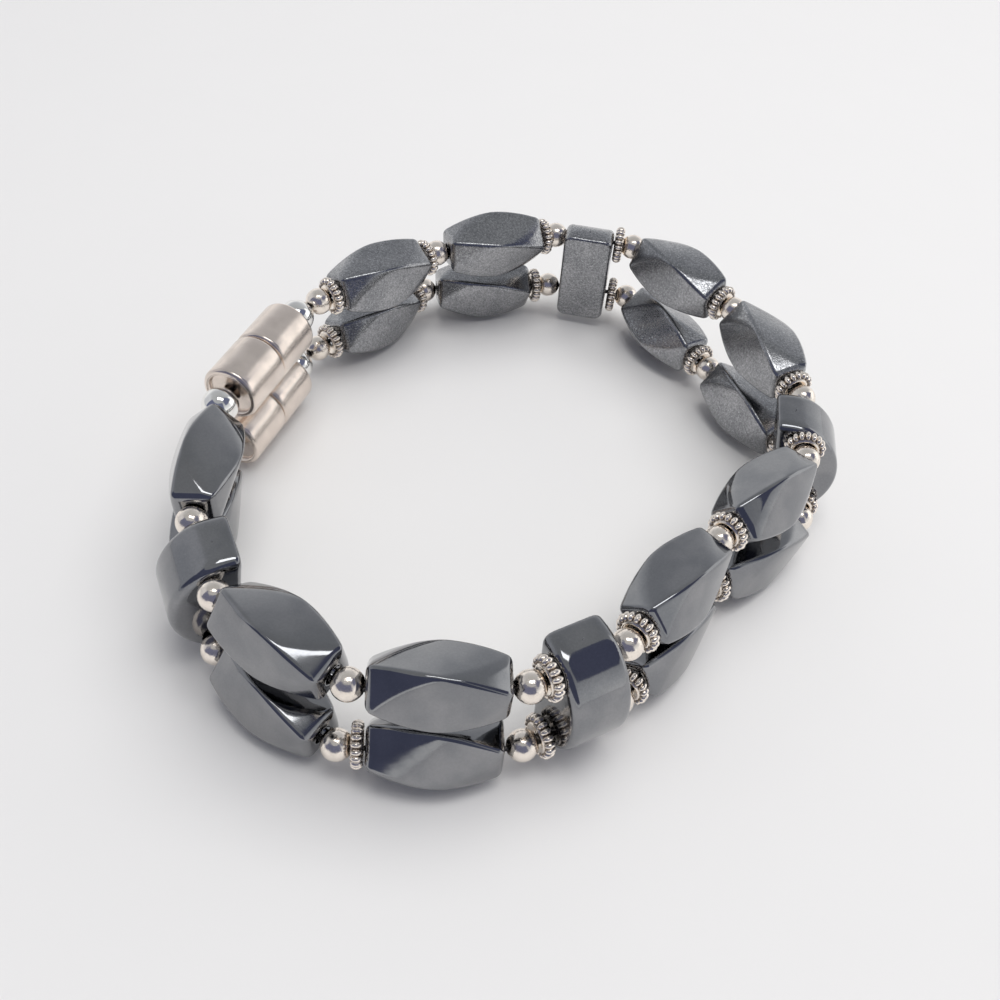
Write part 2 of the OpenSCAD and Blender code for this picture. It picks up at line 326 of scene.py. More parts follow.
class Number:
    """A number socket, so that the maths on it is written as a Python expression."""

    def __init__(self, tree, socket):
        self.tree, self.socket = tree, socket

    def step(self, operation, *values):
        return self.tree.add("ShaderNodeMath", {"operation": operation}, [self, *values])

    def __add__(self, other):
        return self.step("ADD", other)

    def __sub__(self, other):
        return self.step("SUBTRACT", other)

    def __mul__(self, other):
        return self.step("MULTIPLY", other)

    def between(self, low, high):
        """0 at low, 1 at high, and smooth in between."""
        values = {"Value": self, "From Min": low, "From Max": high}
        return self.tree.add("ShaderNodeMapRange", {"interpolation_type": "SMOOTHSTEP"}, values)

    __radd__ = __add__
    __rmul__ = __mul__


class Tree:
    """A node tree that is filled from values and links alone."""

    def __init__(self, tree):
        self.nodes, self.links = tree.nodes, tree.links

    def make(self, kind, settings=None, sockets=None):
        """Adds a node, with its settings first and then the values or links of its sockets."""
        node = self.nodes.new(kind)
        for name, value in (settings or {}).items():
            if name == "stops":
                self.set_stops(node.color_ramp, value)
            else:
                setattr(node, name, value)
        pairs = enumerate(sockets) if isinstance(sockets, list) else (sockets or {}).items()
        for name, value in pairs:
            self.put(node.inputs[name], value)
        return node

    def add(self, kind, settings=None, sockets=None, output=0):
        """Adds a node and gives one of its outputs."""
        return Number(self, self.make(kind, settings, sockets).outputs[output])

    def put(self, socket, value):
        if isinstance(value, Number):
            self.links.new(value.socket, socket)
        else:
            socket.default_value = value

    def blend(self, share, first, second):
        """A colour between two, by a share from 0 to 1."""
        first, second = (v if isinstance(v, Number) else (*v, 1.0) for v in (first, second))
        return self.add("ShaderNodeMix", {"data_type": "RGBA"}, {0: share, 6: first, 7: second}, 2)

    @staticmethod
    def set_stops(ramp, stops):
        while len(ramp.elements) < len(stops):
            ramp.elements.new(0.5)
        for element, (place, shade) in zip(ramp.elements, stops):
            element.position = place
            element.color = (*shade, 1.0)


class Finish(Tree):
    """A procedural material with one Principled shader, on coordinates in millimetres."""

    def __init__(self, name, **uniform):
        self.material = bpy.data.materials.new(name)
        self.material.use_nodes = True
        self.material.node_tree.nodes.clear()
        super().__init__(self.material.node_tree)
        self.shader = self.make("ShaderNodeBsdfPrincipled", None, uniform)
        self.make("ShaderNodeOutputMaterial", None, {"Surface": Number(self, self.shader.outputs[0])})
        values = {"Vector": self.add("ShaderNodeTexCoord", None, None, "Object"), "Scale": 1 / MM}
        self.place = self.add("ShaderNodeVectorMath", {"operation": "SCALE"}, values)

    def noise(self, grain, detail=3.0, roughness=0.5, stretch=(1, 1, 1)):
        """Smooth noise whose spots are about grain millimetres across."""
        place = self.add("ShaderNodeVectorMath", {"operation": "MULTIPLY"}, [self.place, stretch])
        values = {"Vector": place, "Scale": 1 / grain, "Detail": detail, "Roughness": roughness}
        return self.add("ShaderNodeTexNoise", None, values)

    def attribute(self, name):
        return self.add("ShaderNodeAttribute", {"attribute_name": name}, None, "Fac")

    def bump(self, height, depth):
        """A surface whose relief is height times depth, in millimetres."""
        values = {"Height": height, "Strength": 1.0, "Distance": depth * MM}
        return self.add("ShaderNodeBump", None, values, "Normal")

    def finish(self, **sockets):
        for name, value in sockets.items():
            self.put(self.shader.inputs[name.replace("_", " ")], value)
        return self.material


def times(scale, tone):
    """A tone made brighter or darker."""
    return tuple(scale * v for v in tone)


def hematite_finish(name, grain):
    """Polished hematite: a dark grey mirror with faint clouds, and a coarser grain in some stones."""
    stone = Finish(name, Metallic=1.0)
    hematite, dark = colour_of("hematite"), colour_of("hematite_dark")
    clouds = stone.noise(4.0, 2.0).between(0.35, 0.65)
    specks = stone.noise(0.26, 3.0, 0.75).between(0.4, 0.6)
    glints = stone.noise(0.16, 2.0, 0.8).between(0.5, 0.72)
    shade = stone.blend(clouds * 0.55, times(1 + 0.3 * grain, hematite), dark)
    speckled = stone.blend(specks * (0.06 + 0.46 * grain), shade, times(0.6, dark))
    return stone.finish(
        Base_Color=stone.blend(glints * (0.9 * grain), speckled, times(1.9, hematite)),
        Roughness=0.06 + 0.05 * grain + clouds * 0.03 + specks * (0.01 + 0.07 * grain),
        Normal=stone.bump(stone.noise(2.4, 2.0) * 0.7 + specks * (0.16 * grain), 0.02),
    )


def clasp_finish():
    """Satin plating with fine scratches."""
    metal = Finish("satin_plating", Metallic=1.0)
    haze = metal.noise(2.0, 3.0).between(0.3, 0.7)
    scratches = metal.noise(0.35, 4.0, 0.6, (1.0, 1.0, 6.0))
    nickel = colour_of("nickel")
    return metal.finish(
        Base_Color=metal.blend(haze, nickel, times(0.88, nickel)),
        Roughness=0.17 + haze * 0.05 + scratches * 0.08,
        Normal=metal.bump(scratches, 0.004),
    )


def bright_finish():
    """Polished silver with a faint haze."""
    metal = Finish("bright_silver", Metallic=1.0)
    haze = metal.noise(0.8, 3.0).between(0.35, 0.7)
    silver = colour_of("silver")
    return metal.finish(
        Base_Color=metal.blend(haze, silver, times(0.92, silver)),
        Roughness=0.05 + haze * 0.06,
        Normal=metal.bump(haze, 0.004),
    )


def worn_finish(name, cover):
    """Worn silver whose recesses keep a dark film."""
    metal = Finish(name, Metallic=1.0)
    spots = metal.noise(0.5, 3.0).between(0.4, 0.7)
    film = metal.attribute("recess")
    dark = (film * 0.9 + spots * 0.1) * cover
    return metal.finish(
        Base_Color=metal.blend(dark, colour_of("old_silver"), colour_of("tarnish")),
        Roughness=0.14 + spots * 0.1 + film * 0.3,
        Normal=metal.bump(spots, 0.01),
    )


def wire_finish():
    """Coated wire whose strands show through, wound round it like a screw."""
    metal = Finish("coated_wire", Metallic=1.0)
    strands, twist = 7.0, 9.0
    wound = metal.attribute("around") * strands + metal.attribute("along") * twist
    share = wound.step("SINE") * 0.5 + 0.5
    wire = colour_of("wire")
    return metal.finish(
        Base_Color=metal.blend(share, times(0.4, wire), wire),
        Roughness=0.4 + share * -0.1,
        Normal=metal.bump(share, 0.03),
    )


def floor_finish():
    """Plain pale paper."""
    paper = Finish("pale_paper", Metallic=0.0)
    pulp = paper.noise(12.0, 4.0)
    floor = colour_of("floor")
    return paper.finish(
        Base_Color=paper.blend(pulp, floor, times(0.985, floor)),
        Roughness=0.75 + pulp * 0.1,
        Normal=paper.bump(pulp, 0.01),
    )


# Meshes


def new_object(name, data):
    made = bpy.data.objects.new(name, data)
    bpy.context.scene.collection.objects.link(made)
    return made


def mesh_object(name, points, faces, smooth=True, edges=()):
    mesh = bpy.data.meshes.new(name)
    mesh.from_pydata(points, edges, faces)
    mesh.validate()
    if smooth:
        mesh.shade_smooth()
    return new_object(name, mesh)


def carried(points, matrix):
    return points @ matrix[:3, :3].T + matrix[:3, 3]


def grid_faces(rows, columns):
    """Quads of a closed skin whose rows are rings of columns points, the last row joined to the first."""
    faces = []
    for i in range(rows):
        for k in range(columns):
            j, n = (i + 1) % rows, (k + 1) % columns
            faces.append((i * columns + k, i * columns + n, j * columns + n, j * columns + k))
    return faces


def capped(points, columns, first, last):
    """Points and faces of a skin of rings of columns points, closed by a point before them and one after."""
    count = len(points)
    faces = grid_faces(count // columns, columns)[: count - columns]
    for k in range(columns):
        n = (k + 1) % columns
        faces += [(n, k, count), (count - columns + k, count - columns + n, count + 1)]
    return np.vstack([points, first, last]), faces


def even_turns(sides):
    return np.arange(sides) * 2 * math.pi / sides


def ring_of(turns, x, radius):
    """Points of a ring round the X axis."""
    return np.stack([0 * turns + x, radius * np.cos(turns), radius * np.sin(turns)], -1)


def lathe(profile, sides):
    """Points and quads of a ring-shaped skin: a closed profile of (x, radius) turned round the X axis."""
    points = np.concatenate([ring_of(even_turns(sides), x, r) for x, r in profile])
    return points, grid_faces(len(profile), sides)


def arc(x, r, radius, start, end, steps):
    """Points (x, radius) of an arc, with its angles in degrees from the X axis."""
    turns = np.radians(np.linspace(start, end, steps))
    return [(x + radius * math.cos(t), r + radius * math.sin(t)) for t in turns]


def plain_mesh(made, name):
    """The evaluated object as a plain mesh object of its own, and the old one gone."""
    depsgraph = bpy.context.evaluated_depsgraph_get()
    mesh = bpy.data.meshes.new_from_object(made.evaluated_get(depsgraph))
    bpy.data.objects.remove(made)
    mesh.name = name
    return new_object(name, mesh)


def outward(mesh, merge=0.0):
    """Turns a mesh's faces outwards, after merging the pinholes that a lathe leaves on its axis."""
    shape = bmesh.new()
    shape.from_mesh(mesh)
    if merge:
        bmesh.ops.remove_doubles(shape, verts=shape.verts, dist=merge)
    bmesh.ops.recalc_face_normals(shape, faces=shape.faces)
    shape.to_mesh(mesh)
    shape.free()


def dress(piece, material, slot, *nodes):
    """Gives a finished piece its material and its place in the frame."""
    if not piece.data.polygons:
        raise RuntimeError(f"{piece.name} has no faces")
    outward(piece.data)
    piece.data.materials.clear()
    piece.data.materials.append(material)
    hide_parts(*nodes)
    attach(piece, "root")


# Twisted beads

# How far a skin is looked for from inside a stone, and how often that way is halved
LONGEST_REACH, HALVINGS = 9.0 * MM, 30
# A ridge is looked for within this many degrees of its place at the middle, at this many angles
RIDGE_SWING, RIDGE_GUESSES = 40, 161
# Columns of a quarter of a bead's skin, in degrees from a ridge: close together at the ridges
COLUMN_TURNS = (0, 1, 2.2, 3.6, 5.4, 7.6, 10.4, 13.8, 17.8, 22.2, 26.6, 31, 35.6, 40.2, 45)
# The rows of a bead's skin fan out from this far inside its end faces, and are upright in between
BEAD_FAN_DEPTH, UPRIGHT_ROWS = 2.4 * MM, 70
# Slopes of the fan, in radians from the hole, that cross the rounded edge of an end face
EDGE_SLOPES = (0.6, 1.2)
# About how far a bead's skin lies from where its fan starts
FAN_REACH = 3.3 * MM
# How far the edge of a bead's hole is softened
MOUTH_SOFT = 0.12 * MM


def round_join(a, b, radius):
    """Outside distance of two faces that meet in a rounded edge."""
    near = np.hypot(np.maximum(a + radius, 0), np.maximum(b + radius, 0))
    return near + np.minimum(np.maximum(a, b), -radius)


def reach_of(outside, start, way):
    """How far from start along way a shape's skin lies, by halving; outside is above 0 off the shape."""
    low, high = np.zeros(start.shape[:-1]), np.full(start.shape[:-1], LONGEST_REACH)
    for _ in range(HALVINGS):
        guess = (low + high) / 2
        off = outside(start + guess[..., None] * way) > 0
        low, high = np.where(off, low, guess), np.where(off, guess, high)
    return (low + high) / 2


def bent_face(points, normal, along, middle, distance, bend):
    """Outside distance of a face that is bent along one direction, with its middle on the normal."""
    height = points @ normal + bend - distance
    return np.hypot(points @ along - middle, height) - bend


def bead_side(points, k):
    """Outside distance of side k of a bead: its long face and the slanted faces at both ends of it."""
    face = math.pi / 4 + k * math.pi / 2
    turn, tilt = length_of("leaf_turn"), length_of("slant_tilt")
    normal, across = ring_of(face, 0, 1), ring_of(face + math.pi / 2, 0, 1)
    along = np.array((math.cos(turn), 0, 0)) + math.sin(turn) * across
    total = bent_face(points, normal, along, 0.0, length_of("leaf_distance"), length_of("leaf_bend"))
    for end in (-1, 1):
        out = ring_of(face + end * length_of("slant_turn"), 0, 1)
        normal = out * math.cos(tilt) + np.array((end * math.sin(tilt), 0, 0))
        along = np.array((math.cos(tilt), 0, 0)) - end * math.sin(tilt) * out
        middle = end * length_of("slant_middle")
        slant = bent_face(points, normal, along, middle, length_of("slant_distance"), length_of("slant_bend"))
        total = round_join(total, slant, length_of("crease_round"))
    return total


def ridge_turns(stations):
    """Angle of a bead's ridge at each station along its hole."""
    turns = np.radians(np.linspace(-RIDGE_SWING, RIDGE_SWING, RIDGE_GUESSES))
    x, turn = np.meshgrid(stations, turns, indexing="ij")
    start, way = ring_of(turn, x, 0), ring_of(turn, 0, 1)
    before, after = (reach_of(lambda p, k=k: bead_side(p, k), start, way) for k in (SIDES - 1, 0))
    return turns[np.abs(before - after).argmin(axis=1)]


def bead_skin(length):
    """Points and quads of a polished bead in its own axes."""
    half, bore = length / 2, length_of("stone_bore") / 2
    stations = np.linspace(-half, half, 41)
    found = np.pad(ridge_turns(stations), 2, "reflect", reflect_type="odd")
    ridge = np.convolve(found, np.ones(5) / 5, "valid")

    def outside(points):
        total = bead_side(points, 0)
        for k in range(1, SIDES):
            total = round_join(total, bead_side(points, k), length_of("ridge_round"))
        return round_join(total, np.abs(points[..., 0]) - half, length_of("end_round"))

    quarter = [*COLUMN_TURNS, *(90 - t for t in COLUMN_TURNS[-2:0:-1])]
    turns = np.radians([t + 90 * k for k in range(SIDES) for t in quarter])
    first, last = EDGE_SLOPES
    mouth = math.atan2(bore + MOUTH_SOFT, BEAD_FAN_DEPTH)
    stretches = ((mouth, first, 6), (first, last, 20), (last, math.pi / 2, 10))
    fan = np.unique(np.concatenate([np.linspace(*stretch) for stretch in stretches]))
    root = half - BEAD_FAN_DEPTH
    rows = [(root, a) for a in fan] + [(x, math.pi / 2) for x in np.linspace(root, -root, UPRIGHT_ROWS)[1:-1]]
    rows += [(-root, math.pi - a) for a in fan[::-1]]
    rings = []
    for x, slope in rows:
        turn = turns + np.interp(x + FAN_REACH * math.cos(slope), stations, ridge)
        start, way = ring_of(turn, x, 0), ring_of(turn, math.cos(slope), math.sin(slope))
        rings.append(start + reach_of(outside, start, way)[:, None] * way)
    for end in (-1, 1):
        turn = turns + np.interp(end * half, stations, ridge)
        rings.append(ring_of(turn, end * (half - MOUTH_SOFT), bore))
    return np.concatenate(rings), grid_faces(len(rings), len(turns))


# Two-hole bars

# The rows of a bar's skin fan out from this far inside its top and bottom, and are level in between
BAR_FAN_DEPTH, FAN_ROWS, LEVEL_ROWS = 1.3 * MM, 26, 73
# Columns along each of a bar's four sides, closer together at its corners
SIDE_COLUMNS = 24


def bar_skin():
    """Points and faces of a bar without its holes: X along the strings, Y outwards and Z up."""
    width, thick, height = BAR_EXTENT
    rise = thick - length_of("bar_end_thick")
    arch = (height**2 / 4 + rise**2) / (2 * rise)

    def outer(z):
        return thick - arch + np.sqrt(np.maximum(arch**2 - z**2, 0))

    def outside(points):
        x, y, z = np.moveaxis(points, -1, 0)
        plan = round_join(np.abs(x) - width / 2, np.abs(z) - height / 2, length_of("bar_corner"))
        arched = round_join(plan, np.hypot(y - thick + arch, z) - arch, length_of("bar_round"))
        return round_join(arched, -y, length_of("bar_inner_round"))

    dense = np.sin(np.linspace(-1, 1, SIDE_COLUMNS + 1) * math.pi / 2)[:-1]
    # A square's outline, as complex numbers
    square = np.concatenate([(dense - 1j) * 1j**k for k in range(4)])
    stand = height / 2 - BAR_FAN_DEPTH
    fan = np.linspace(0, math.pi / 2, FAN_ROWS)[1:-1]
    rows = [(stand, a) for a in fan[::-1]] + [(z, 0.0) for z in np.linspace(stand, -stand, LEVEL_ROWS)]
    rows += [(-stand, -a) for a in fan]
    rings = []
    for z, slope in rows:
        reach = outer(z) / 2
        start = np.full((len(square), 3), (0, reach, z))
        flat = np.stack([square.real * width / 2, square.imag * reach, 0 * square.real], -1)
        flat /= np.linalg.norm(flat, axis=1)[:, None]
        way = flat * math.cos(slope) + np.array((0, 0, math.sin(slope)))
        rings.append(start + reach_of(outside, start, way)[:, None] * way)
    top, bottom = ((0, outer(stand) / 2, end * height / 2) for end in (1, -1))
    return capped(np.concatenate(rings), len(square), top, bottom)


# Geometry Nodes trees


class Shaper(Tree):
    """A Geometry Nodes tree with named inputs, and a modifier that runs it on an object."""

    def __init__(self, name, **kinds):
        self.group = bpy.data.node_groups.new(name, "GeometryNodeTree")
        super().__init__(self.group)
        face = self.group.interface
        self.names = {}
        face.new_socket("Geometry", in_out="INPUT", socket_type="NodeSocketGeometry")
        for label, kind in kinds.items():
            socket = face.new_socket(label, in_out="INPUT", socket_type="NodeSocket" + kind)
            self.names[label] = socket.identifier
        face.new_socket("Geometry", in_out="OUTPUT", socket_type="NodeSocketGeometry")
        self.given = self.make("NodeGroupInput")

    def input(self, label):
        return Number(self, self.given.outputs[label])

    def named(self, name):
        """A direction that each point of a mesh holds."""
        return self.add("GeometryNodeInputNamedAttribute", {"data_type": "FLOAT_VECTOR"}, {"Name": name})

    def store(self, geometry, name, value):
        values = {"Geometry": geometry, "Name": name, "Value": value}
        return self.add("GeometryNodeStoreNamedAttribute", None, values)

    def repeat(self, piece, points, axis, hole, side):
        """A piece at each of the points, with its X along the hole and the named axis along the side."""
        settings = {"primary_axis": "X", "secondary_axis": axis}
        turned = self.add("FunctionNodeAxesToRotation", settings, [hole, side])
        values = {"Points": points, "Instance": piece, "Rotation": turned}
        return self.add("GeometryNodeInstanceOnPoints", None, values)

    def close(self, geometry):
        """Ends the tree with real meshes in one material."""
        real = self.add("GeometryNodeRealizeInstances", None, {"Geometry": geometry})
        values = {"Geometry": real, "Material": self.input("Material")}
        self.make("NodeGroupOutput", None, [self.add("GeometryNodeSetMaterial", None, values)])

    def run(self, made, name, **values):
        """Runs the tree on an object and gives the result as a plain mesh object."""
        modifier = made.modifiers.new(self.group.name, "NODES")
        modifier.node_group = self.group
        for label, value in values.items():
            modifier[self.names[label]] = value
        return plain_mesh(made, name)


def strung_tree():
    """One spacer, repeated at each place along a string."""
    tree = Shaper("Spacers along a string", Places="Object", Material="Material")
    places = tree.add("GeometryNodeObjectInfo", None, {"Object": tree.input("Places")}, "Geometry")
    tree.close(tree.repeat(tree.input("Geometry"), places, "Y", tree.named("hole"), tree.named("side")))
    return tree


def rim_tree():
    """Small teeth, repeated round the rim of a spacer's core."""
    tree = Shaper("Teeth round a rim", Tooth="Object", Teeth="Int", Rim_Radius="Float", Material="Material")
    values = {"Vertices": tree.input("Teeth"), "Radius": tree.input("Rim_Radius")}
    circle = tree.add("GeometryNodeMeshCircle", None, values)
    upright = tree.add("GeometryNodeTransform", None, {"Geometry": circle, "Rotation": (0, math.pi / 2, 0)})
    tooth = tree.add("GeometryNodeObjectInfo", None, {"Object": tree.input("Tooth")}, "Geometry")
    outwards = tree.add("GeometryNodeInputPosition")
    teeth = tree.repeat(tooth, upright, "Z", (1.0, 0.0, 0.0), outwards)
    joined = tree.make("GeometryNodeJoinGeometry", None, [tree.input("Geometry")])
    tree.put(joined.inputs[0], teeth)
    tree.close(Number(tree, joined.outputs[0]))
    return tree


def wire_tree():
    """A round wire along a line of points, with attributes along and around it."""
    tree = Shaper("Stringing wire", Wire_Size="Float", Sides="Int", Material="Material")
    line = tree.add("GeometryNodeMeshToCurve", None, {"Mesh": tree.input("Geometry")})
    length = tree.add("GeometryNodeSplineParameter", None, None, "Length")
    along = tree.store(line, "along", length * (1 / MM))
    values = {"Resolution": tree.input("Sides"), "Radius": tree.input("Wire_Size") * 0.5}
    circle = tree.add("GeometryNodeCurvePrimitiveCircle", None, values)
    share = tree.add("GeometryNodeSplineParameter", None, None, "Factor")
    around = tree.store(circle, "around", share * (2 * math.pi))
    values = {"Curve": along, "Profile Curve": around, "Fill Caps": True}
    tree.close(tree.add("GeometryNodeCurveToMesh", None, values))
    return tree


def hold(made, name, kind, field, values):
    """Stores a value at each point of a mesh."""
    held = made.data.attributes.new(name, kind, "POINT")
    held.data.foreach_set(field, np.array(values, np.float32).ravel())


def places_object(places):
    """Points at the places of a string's spacers, with the directions of their holes and sides."""
    made = mesh_object("places", [p[:3, 3] for p in places], [], smooth=False)
    for column, name in enumerate(("hole", "side")):
        hold(made, name, "FLOAT_VECTOR", "vector", [p[:3, column] for p in places])
    return made


def recess(made, share):
    """Stores how much dark film each point keeps, from its place in the piece."""
    hold(made, "recess", "FLOAT", "value", [share(*v.co) for v in made.data.vertices])


# Operators

# Edges that turn more than this are shown sharp
SHARP_ANGLE = math.radians(40)
# Height of a fluted spacer's teeth over its core
TOOTH_HIGH = 0.42 * MM
# Radius of the hole that a lathe leaves on its axis, until its points are merged
PINHOLE = 0.02 * MM


class BRACELET_OT_beads(bpy.types.Operator):
    """Polished twisted beads of both strands"""

    bl_idname = "bracelet.beads"
    bl_label = "Hematite beads"

    def execute(self, context):
        points, faces = bead_skin(BEAD_EXTENT[0])
        coarse, smooth = hematite_finish("hematite_grained", 1.0), hematite_finish("hematite_smooth", 0.06)
        for strand in STRANDS:
            for number in range(1, BEADS + 1):
                node = f"{strand}_bead_{number}"
                placed = carried(points, bead_place(node))
                piece = mesh_object(f"{strand}_twisted_bead_{number}", placed, faces)
                dress(piece, coarse if number in GRAINED_BEADS else smooth, "hematite", node)
        return {"FINISHED"}


class BRACELET_OT_bars(bpy.types.Operator):
    """Arched bars with a hole for each string"""

    bl_idname = "bracelet.bars"
    bl_label = "Two-hole bars"

    def execute(self, context):
        blank = mesh_object("bar", *bar_skin(), smooth=False)
        outward(blank.data)
        for side in (-1, 1):
            blank = drill(blank, length_of("bar_hole_depth"), side * length_of("strand_pitch") / 2)
        coarse = hematite_finish("hematite_bar_grained", 1.2)
        smooth = hematite_finish("hematite_bar_smooth", 0.1)
        for number in range(1, BARS + 1):
            node = f"bar_{number}"
            piece = new_object(f"arched_bar_{number}", blank.data.copy())
            piece.data.transform(Matrix(bar_place(node).tolist()))
            piece.data.shade_smooth()
            piece.data.set_sharp_from_angle(angle=SHARP_ANGLE)
            dress(piece, coarse if number in GRAINED_BARS else smooth, "hematite", node)
        bpy.data.objects.remove(blank)
        return {"FINISHED"}


def drill(made, y, z):
    """A bar with a round hole, cut by a Boolean modifier that is applied at once."""
    sides, ends = 40, (-BAR_EXTENT[0], BAR_EXTENT[0])
    rings = [ring_of(even_turns(sides), x, length_of("stone_bore") / 2) + (0, y, z) for x in ends]
    skin = capped(np.concatenate(rings), sides, *((x, y, z) for x in ends))
    tool = mesh_object("drill", *skin, smooth=False)
    cut = made.modifiers.new("hole", "BOOLEAN")
    cut.operation, cut.object, cut.solver = "DIFFERENCE", tool, "EXACT"
    drilled = plain_mesh(made, "bar")
    bpy.data.objects.remove(tool)
    return drilled


def ball_radius(triangles):
    return np.linalg.norm(triangles.reshape(-1, 3) - middle_of(triangles), axis=1).max()


def ball_profile(radius, bore):
    """Profile of a drilled ball whose mouths are softened."""
    soft = 0.08 * MM
    mouth = math.degrees(math.asin((bore + soft) / radius))
    x = math.sqrt(radius**2 - (bore + soft) ** 2) - soft
    return [*arc(0, 0, radius, mouth, 180 - mouth, 25), (-x, bore), (x, bore)]


def film_between(full, none, radius):
    """How much dark film lies at a radius: all of it at one radius, fading to none at another."""
    return np.clip((radius - none) / (full - none), 0, 1)


def string_up(tree, spacer, places, name, metal, node):
    """Repeats a spacer at each of its places along a string, as one piece."""
    points = places_object(places)
    piece = tree.run(spacer, name, Places=points, Material=metal)
    bpy.data.objects.remove(points)
    dress(piece, metal, "antique_silver", node)


class BRACELET_OT_round_spacers(bpy.types.Operator):
    """Small round silver spacers of both strands"""

    bl_idname = "bracelet.round_spacers"
    bl_label = "Round spacers"

    def execute(self, context):
        tree, metal = strung_tree(), worn_finish("worn_silver_balls", 0.9)
        bore, film = 0.4 * MM, 0.25 * MM
        for strand in STRANDS:
            node = f"{strand}_round_spacers"
            solids = solids_of(node)
            radius = max(ball_radius(s) for s in solids)
            ball = mesh_object("ball", *lathe(ball_profile(radius, bore), 32))
            recess(ball, lambda x, y, z: film_between(bore, bore + film, math.hypot(y, z)))
            places = [drilled_place(s) for s in solids]
            string_up(tree, ball, places, f"{strand}_silver_balls", metal, node)
        return {"FINISHED"}


class BRACELET_OT_fluted_spacers(bpy.types.Operator):
    """Fluted silver spacers of both strands"""

    bl_idname = "bracelet.fluted_spacers"
    bl_label = "Fluted spacers"

    teeth: bpy.props.IntProperty(name="Teeth", description="Teeth round a fluted spacer", default=18)

    def execute(self, context):
        rim, strung, metal = rim_tree(), strung_tree(), worn_finish("worn_silver_rings", 1.0)
        for strand in STRANDS:
            node = f"{strand}_fluted_spacers"
            solids = solids_of(node)
            places = [ring_place(s) for s in solids]
            span = seen_from(places[0], solids[0])
            thick, radius = float(np.ptp(span[:, 0])), float(np.hypot(span[:, 1], span[:, 2]).max())
            core, tooth = self.core(thick, radius), self.tooth(thick, radius)
            foot = radius - max(v.co.z for v in tooth.data.vertices)
            ring = rim.run(core, "ring", Tooth=tooth, Teeth=self.teeth, Rim_Radius=foot, Material=metal)
            bpy.data.objects.remove(tooth)
            string_up(strung, ring, places, f"{strand}_silver_rings", metal, node)
        return {"FINISHED"}

    def core(self, thick, radius):
        """The ring that carries the teeth: a rim, and on each side a domed hub with a dished mouth."""
        bore, half = length_of("fluted_bore") / 2, thick / 2
        rim, step = radius - TOOTH_HIGH, 0.1 * MM
        hub, soft = bore + 0.24 * MM, 0.14 * MM
        mouth, hole = bore - 0.1 * MM, 0.66 * MM
        profile = [(0.3 * half, rim), (0.62 * half, rim - step)]
        profile += arc(half - soft, hub, soft, 60, -30, 6)
        profile += [(0.72 * half, mouth), (0.4 * half, hole)]
        profile += [(-x, r) for x, r in profile[::-1]]
        made = mesh_object("core", *lathe(profile, 48))
        clean, dark = hub + 0.1 * MM, hub + 0.3 * MM
        recess(made, lambda x, y, z: film_between(dark, clean, math.hypot(y, z)))
        return made

    def tooth(self, thick, radius):
        """One rounded tooth: X along the hole and Z outwards."""
        rows, sides = 7, 10
        half, pitch = thick / 2, 2 * math.pi * (radius - TOOTH_HIGH / 2) / self.teeth
        wide = 0.88 * pitch
        points = []
        for t in math.pi * (np.arange(rows) + 0.5) / rows:
            x, aside, high = half * math.cos(t), wide / 2 * math.sin(t), TOOTH_HIGH * math.sin(t)
            points += [(x, aside * math.sin(a), high * math.cos(a)) for a in even_turns(sides)]
        made = mesh_object("tooth", *capped(points, sides, (half, 0, 0), (-half, 0, 0)))
        clean, dark = 0.06 * MM, -0.24 * MM
        recess(made, lambda x, y, z: film_between(dark, clean, z))
        return made


class BRACELET_OT_clasps(bpy.types.Operator):
    """Satin barrels of the magnetic clasps"""

    bl_idname = "bracelet.clasps"
    bl_label = "Clasp halves"

    def execute(self, context):
        metal = clasp_finish()
        for strand in STRANDS:
            for end, other in zip(ENDS, ENDS[::-1]):
                node = f"{strand}_clasp_half_{end}"
                place = half_place(node, f"{strand}_clasp_half_{other}")
                span = seen_from(place, corners_of(node))
                length, radius = span[:, 0].max(), np.hypot(span[:, 1], span[:, 2]).max()
                points, faces = lathe(self.profile(length, radius), 96)
                made = mesh_object(f"{strand}_clasp_barrel_{end}", carried(points, place), faces)
                outward(made.data, 1.5 * PINHOLE)
                made.data.set_sharp_from_angle(angle=SHARP_ANGLE)
                dress(made, metal, "clasp_metal", node)
        return {"FINISHED"}

    def profile(self, length, radius):
        """Profile of a half from its seam over its side, its rim and its dished end into its hole."""
        bore, depth = length_of("clasp_bore") / 2, length_of("clasp_bore_depth")
        edge = length_of("clasp_round")
        lip, dish, slope = 0.1 * MM, 0.5 * MM, 0.05 * MM
        profile = [(0.0, PINHOLE), (0.0, radius * 0.6)]
        profile += arc(edge, radius - edge, edge, 180, 90, 8)
        profile += [(length * t, radius) for t in (0.25, 0.5, 0.75)]
        profile += arc(length - edge, radius - edge, edge, 90, 0, 8)
        profile += arc(length - lip, radius - edge - lip, lip, 90, -60, 4)
        profile += [(length - dish + slope, radius - edge - 3 * lip), (length - dish, bore + lip)]
        return profile + [(length - dish - lip, bore), (length - depth, bore), (length - depth, PINHOLE)]


class BRACELET_OT_end_balls(bpy.types.Operator):
    """Bright balls at the ends of the clasps"""

    bl_idname = "bracelet.end_balls"
    bl_label = "End balls"

    def execute(self, context):
        metal = bright_finish()
        for strand in STRANDS:
            for end in ENDS:
                node = f"{strand}_end_ball_{end}"
                triangles = corners_of(node)
                profile = ball_profile(ball_radius(triangles), length_of("ball_bore") / 2)
                points, faces = lathe(profile, 48)
                placed = carried(points, drilled_place(triangles))
                dress(mesh_object(f"{strand}_bright_ball_{end}", placed, faces), metal, "bright_silver", node)
        return {"FINISHED"}


